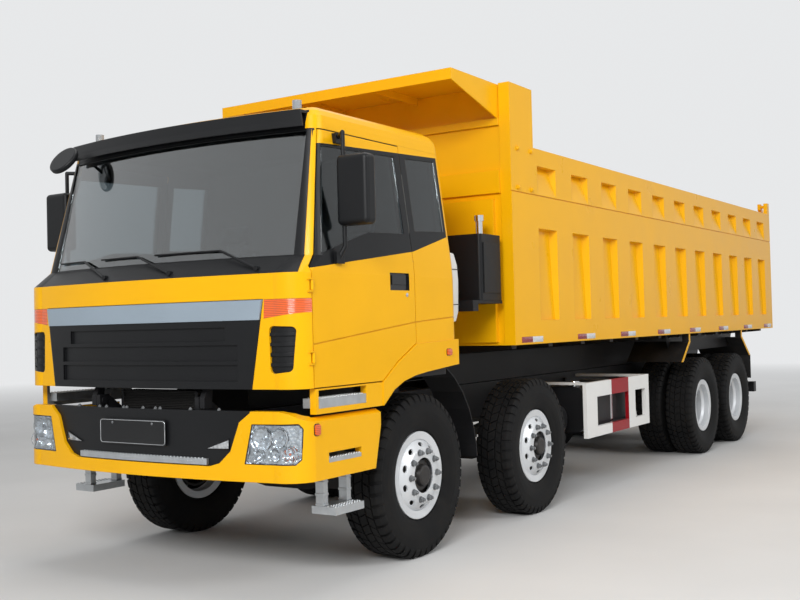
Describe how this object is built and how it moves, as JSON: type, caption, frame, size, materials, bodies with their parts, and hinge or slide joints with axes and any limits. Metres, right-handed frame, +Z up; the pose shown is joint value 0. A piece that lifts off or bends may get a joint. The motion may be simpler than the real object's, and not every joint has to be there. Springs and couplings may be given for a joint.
{
  "type": "tipper truck",
  "caption": "Cab-over tipper truck with a tall ribbed tipping body, a canopy over the gap behind the cab, steered front axles and a driven rear bogie.",
  "frame": {"origin": "on the ground under the middle of the bounding box", "axes": "+X to the left of the truck, -Y towards its front, +Z up"},
  "size_m": [2.956, 11.0058, 3.5188],
  "materials": {
    "yellow_paint": "gloss",
    "black_paint": "satin",
    "cast_black": "rough",
    "black_plastic": "grained",
    "white_paint": "gloss",
    "wheel_silver": "satin",
    "tyre_rubber": "matte",
    "cab_glass": "polished",
    "lamp_clear": "polished",
    "lamp_orange": "polished",
    "seat_cloth": "woven",
    "dash_plastic": "grained",
    "step_steel": "brushed",
    "tank_white": "smooth",
    "hoist_steel": "polished"
  },
  "bodies": {
    "chassis": {"frame": "black_paint", "drivetrain": "cast_black", "front_axles": "cast_black", "rear_axles": "cast_black", "chassis_tanks": "black_paint", "side_guards": "white_paint", "rear_bar": "black_paint", "bumper": "yellow_paint", "bumper_insert": "black_plastic", "headlamps": "lamp_clear", "hanging_steps": "step_steel", "air_cleaner": "black_plastic"},
    "cab": {"cab_front": "yellow_paint", "cab_sides": "yellow_paint", "cab_back": "yellow_paint", "cab_roof": "yellow_paint", "cab_floor": "black_paint", "cab_glass": "cab_glass", "cab_trim": "black_plastic", "grille": "black_plastic", "turn_lamps": "lamp_orange", "seats": "seat_cloth", "dashboard": "dash_plastic", "header_tank": "tank_white"},
    "left_door": {"door_left": "yellow_paint", "door_glass_left": "cab_glass", "mirror_left": "black_plastic"},
    "right_door": {"door_right": "yellow_paint", "door_glass_right": "cab_glass", "mirror_right": "black_plastic"},
    "bed": {"bed_floor": "yellow_paint", "bed_sides": "yellow_paint", "bed_front": "yellow_paint", "bed_mudguards": "yellow_paint"},
    "gate": {"tailgate": "yellow_paint"},
    "hoist_cover_body": {"hoist_cover": "black_paint"},
    "hoist_stage_1_body": {"hoist_stage_1": "hoist_steel"},
    "hoist_stage_2_body": {"hoist_stage_2": "hoist_steel"},
    "hoist_stage_3_body": {"hoist_stage_3": "hoist_steel"},
    "hoist_stage_4_body": {"hoist_stage_4": "hoist_steel"},
    "steer_1_left": {"knuckle_1_left": "cast_black"},
    "steer_1_right": {"knuckle_1_right": "cast_black"},
    "steer_2_left": {"knuckle_2_left": "cast_black"},
    "steer_2_right": {"knuckle_2_right": "cast_black"},
    "road_wheel_1_left": {"tyre_1_left": "tyre_rubber", "wheel_1_left": "wheel_silver"},
    "road_wheel_1_right": {"tyre_1_right": "tyre_rubber", "wheel_1_right": "wheel_silver"},
    "road_wheel_2_left": {"tyre_2_left": "tyre_rubber", "wheel_2_left": "wheel_silver"},
    "road_wheel_2_right": {"tyre_2_right": "tyre_rubber", "wheel_2_right": "wheel_silver"},
    "road_wheel_3_left": {"tyre_3_left": "tyre_rubber", "wheel_3_left": "wheel_silver"},
    "road_wheel_3_right": {"tyre_3_right": "tyre_rubber", "wheel_3_right": "wheel_silver"},
    "road_wheel_4_left": {"tyre_4_left": "tyre_rubber", "wheel_4_left": "wheel_silver"},
    "road_wheel_4_right": {"tyre_4_right": "tyre_rubber", "wheel_4_right": "wheel_silver"}
  },
  "joints": [
    {"name": "cab_tilt", "type": "hinge", "parent": "chassis", "child": "cab", "pos_m": [0, -5.387, 1.15], "axis": [1, 0, 0], "range_deg": [0, 50]},
    {"name": "left_door_swing", "type": "hinge", "parent": "cab", "child": "left_door", "pos_m": [1.243, -5.261, 1.6], "axis": [0, 0, -1], "range_deg": [0, 70]},
    {"name": "right_door_swing", "type": "hinge", "parent": "cab", "child": "right_door", "pos_m": [-1.243, -5.261, 1.6], "axis": [0, 0, 1], "range_deg": [0, 70]},
    {"name": "bed_tip", "type": "hinge", "parent": "chassis", "child": "bed", "pos_m": [0, 4.403, 1.16], "axis": [-1, 0, 0], "range_deg": [0, 46]},
    {"name": "tailgate_swing", "type": "hinge", "parent": "bed", "child": "gate", "pos_m": [0, 5.333, 3.15], "axis": [1, 0, 0], "range_deg": [0, 60]},
    {"name": "hoist_swing", "type": "hinge", "parent": "bed", "child": "hoist_cover_body", "pos_m": [0, -2.947, 1.64], "axis": [1, 0, 0], "range_deg": [0, 21.65]},
    {"name": "hoist_slide_1", "type": "slide", "parent": "hoist_cover_body", "child": "hoist_stage_1_body", "axis": [0, 0, -1], "range_m": [0, 1.4298]},
    {"name": "hoist_slide_2", "type": "slide", "parent": "hoist_stage_1_body", "child": "hoist_stage_2_body", "axis": [0, 0, -1], "range_m": [0, 1.4298]},
    {"name": "hoist_slide_3", "type": "slide", "parent": "hoist_stage_2_body", "child": "hoist_stage_3_body", "axis": [0, 0, -1], "range_m": [0, 1.4298]},
    {"name": "hoist_slide_4", "type": "slide", "parent": "hoist_stage_3_body", "child": "hoist_stage_4_body", "axis": [0, 0, -1], "range_m": [0, 1.4298]},
    {"name": "steer_1_left_turn", "type": "hinge", "parent": "chassis", "child": "steer_1_left", "pos_m": [0.905, -3.997, 0.561], "axis": [0, 0, 1], "range_deg": [-34, 34]},
    {"name": "steer_1_right_turn", "type": "hinge", "parent": "chassis", "child": "steer_1_right", "pos_m": [-0.905, -3.997, 0.561], "axis": [0, 0, 1], "range_deg": [-34.3, 34.3]},
    {"name": "steer_2_left_turn", "type": "hinge", "parent": "chassis", "child": "steer_2_left", "pos_m": [0.905, -2.172, 0.561], "axis": [0, 0, 1], "range_deg": [-24.78, 24.78]},
    {"name": "steer_2_right_turn", "type": "hinge", "parent": "chassis", "child": "steer_2_right", "pos_m": [-0.905, -2.172, 0.561], "axis": [0, 0, 1], "range_deg": [-24.78, 24.78]},
    {"name": "wheel_1_left_roll", "type": "hinge", "parent": "steer_1_left", "child": "road_wheel_1_left", "pos_m": [1.03, -3.997, 0.561], "axis": [1, 0, 0], "continuous": true},
    {"name": "wheel_1_right_roll", "type": "hinge", "parent": "steer_1_right", "child": "road_wheel_1_right", "pos_m": [-1.03, -3.997, 0.561], "axis": [1, 0, 0], "continuous": true},
    {"name": "wheel_2_left_roll", "type": "hinge", "parent": "steer_2_left", "child": "road_wheel_2_left", "pos_m": [1.03, -2.172, 0.561], "axis": [1, 0, 0], "continuous": true},
    {"name": "wheel_2_right_roll", "type": "hinge", "parent": "steer_2_right", "child": "road_wheel_2_right", "pos_m": [-1.03, -2.172, 0.561], "axis": [1, 0, 0], "continuous": true},
    {"name": "wheel_3_left_roll", "type": "hinge", "parent": "chassis", "child": "road_wheel_3_left", "pos_m": [0.915, 2.168, 0.561], "axis": [1, 0, 0], "continuous": true},
    {"name": "wheel_3_right_roll", "type": "hinge", "parent": "chassis", "child": "road_wheel_3_right", "pos_m": [-0.915, 2.168, 0.561], "axis": [1, 0, 0], "continuous": true},
    {"name": "wheel_4_left_roll", "type": "hinge", "parent": "chassis", "child": "road_wheel_4_left", "pos_m": [0.915, 3.518, 0.561], "axis": [1, 0, 0], "continuous": true},
    {"name": "wheel_4_right_roll", "type": "hinge", "parent": "chassis", "child": "road_wheel_4_right", "pos_m": [-0.915, 3.518, 0.561], "axis": [1, 0, 0], "continuous": true}
  ],
  "couplings": [
    {"joint": "hoist_swing", "follows": "bed_tip", "ratio": 0.45971},
    {"joint": "hoist_slide_1", "follows": "bed_tip", "m_per_rad": 1.7784},
    {"joint": "hoist_slide_2", "follows": "bed_tip", "m_per_rad": 1.7784},
    {"joint": "hoist_slide_3", "follows": "bed_tip", "m_per_rad": 1.7784},
    {"joint": "hoist_slide_4", "follows": "bed_tip", "m_per_rad": 1.7784},
    {"joint": "steer_1_right_turn", "follows": "steer_1_left_turn", "ratio": 1},
    {"joint": "steer_2_left_turn", "follows": "steer_1_left_turn", "ratio": 0.72},
    {"joint": "steer_2_right_turn", "follows": "steer_1_left_turn", "ratio": 0.72}
  ]
}
